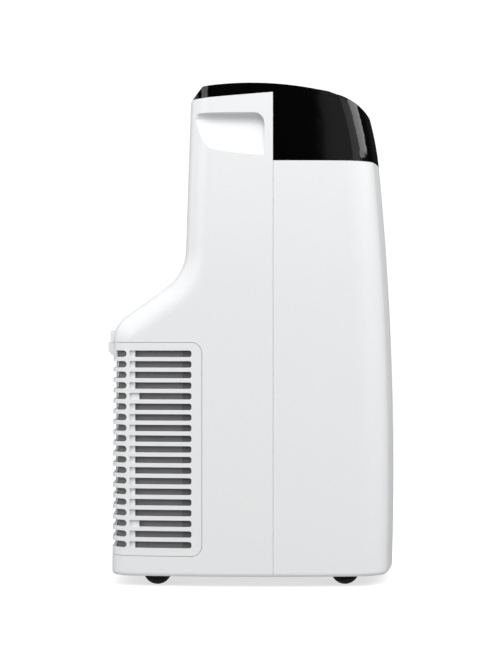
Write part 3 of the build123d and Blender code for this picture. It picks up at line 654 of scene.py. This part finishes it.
# name, azimuth in degrees (0 right, 90 front), height, distance, size, radiance, seen in gloss
SOFTBOXES = (
    ("wide_box", 41, 1.0, 3.0, (3.5, 2.4), 0.36, True),
    ("shoulder_box", 60, 1.3, 2.9, (1.3, 2.4), 0.5, True),
    ("strip_box", 90, 2.25, 2.8, (1.8, 1.9), 3.3, True),
    ("key_box", 2, 3.6, 3.4, (2.6, 2.6), 3.35, True),
    ("side_box", -55, 1.3, 3.0, (1.7, 1.8), 2.1, True),
    ("rear_box", 250, 1.2, 3.0, (2.0, 2.0), 0.9, True),
    ("far_box", 180, 1.5, 3.2, (2.4, 2.4), 0.6, False),
    ("top_box", 0, 2.3, 0.3, (2.4, 2.4), 0.35, True),
)


def add_camera():
    lens = bpy.data.cameras.new("side_camera")
    lens.lens = LENS_MM
    lens.sensor_width = SENSOR_MM
    lens.clip_end = SIGHT_RANGE
    camera = bpy.data.objects.new("side_camera", lens)
    bpy.context.scene.collection.objects.link(camera)
    camera.location = CAMERA_PLACE
    camera.rotation_euler = (math.pi / 2, 0.0, -math.pi / 2)
    bpy.context.scene.camera = camera


def add_floor():
    """A pale round floor whose rim fades into the backdrop. It throws no light back up."""
    form = bmesh.new()
    bmesh.ops.create_circle(form, cap_ends=True, radius=FLOOR_RADIUS, segments=96)
    mesh = bpy.data.meshes.new("floor")
    form.to_mesh(mesh)
    form.free()
    floor = link("floor", mesh)
    finish = Finish("floor", 0.9)
    away = finish.node("ShaderNodeVectorMath", {"operation": "LENGTH"}, {0: finish.place}, "Value")
    fade = (1.0 - (away - FLOOR_CLEAR) / FLOOR_FADE).largest(0.0).smallest(1.0)
    finish.set(Base_Color=FLOOR_GREY, Alpha=fade, Specular_IOR_Level=0.0)
    finish.set(Emission_Color=ONE, Emission_Strength=FLOOR_GLOW)
    finish.relief(finish.noise(300.0), 0.1 * MM, 0.1)
    floor.data.materials.append(finish.material)
    floor.visible_diffuse = False
    floor.visible_glossy = False


def softbox(name, azimuth, height, distance, size, radiance, in_gloss):
    """An evenly bright softbox, placed round the object by an azimuth from its right side."""
    light = bpy.data.lights.new(name, "AREA")
    light.shape = "RECTANGLE"
    light.size, light.size_y = size
    light.energy = radiance * math.pi * size[0] * size[1]
    lamp = bpy.data.objects.new(name, light)
    bpy.context.scene.collection.objects.link(lamp)
    angle = math.radians(azimuth)
    lamp.location = (-distance * math.cos(angle), -distance * math.sin(angle), height)
    lamp.rotation_euler = (Vector(MIDDLE) - lamp.location).to_track_quat("-Z", "Y").to_euler()
    lamp.visible_camera = False
    lamp.visible_glossy = in_gloss


def add_backdrop():
    """White behind the object, fill from above and from the floor, and a dark room in gloss."""
    world = bpy.data.worlds.new("studio")
    world.use_nodes = True
    bpy.context.scene.world = world
    room = Tree(world.node_tree)
    background = world.node_tree.nodes["Background"]
    seen = room.node("ShaderNodeLightPath", output="Is Camera Ray")
    mirrored = room.node("ShaderNodeLightPath", output="Is Glossy Ray")
    direction = room.node("ShaderNodeTexCoord", output="Generated")
    height = room.node("ShaderNodeSeparateXYZ", None, {0: direction}, 2)
    rise = (height * FILL_RISE + 0.5).largest(0.0).smallest(1.0)
    under = (FILL_UNDER_FROM - height).largest(0.0) * FILL_UNDER
    fill = rise * (FILL_ABOVE - FILL_BELOW) + under + FILL_BELOW
    level = fill * (1.0 - mirrored) + mirrored * ROOM_IN_GLOSS
    room.feed(background.inputs["Strength"], seen * BACKDROP + (1.0 - seen) * level)
    room.feed(background.inputs["Color"], ONE)


add_camera()
add_floor()
add_backdrop()
for box in SOFTBOXES:
    softbox(*box)
bpy.context.scene.view_settings.view_transform = "Standard"
bpy.context.scene.view_settings.look = "None"
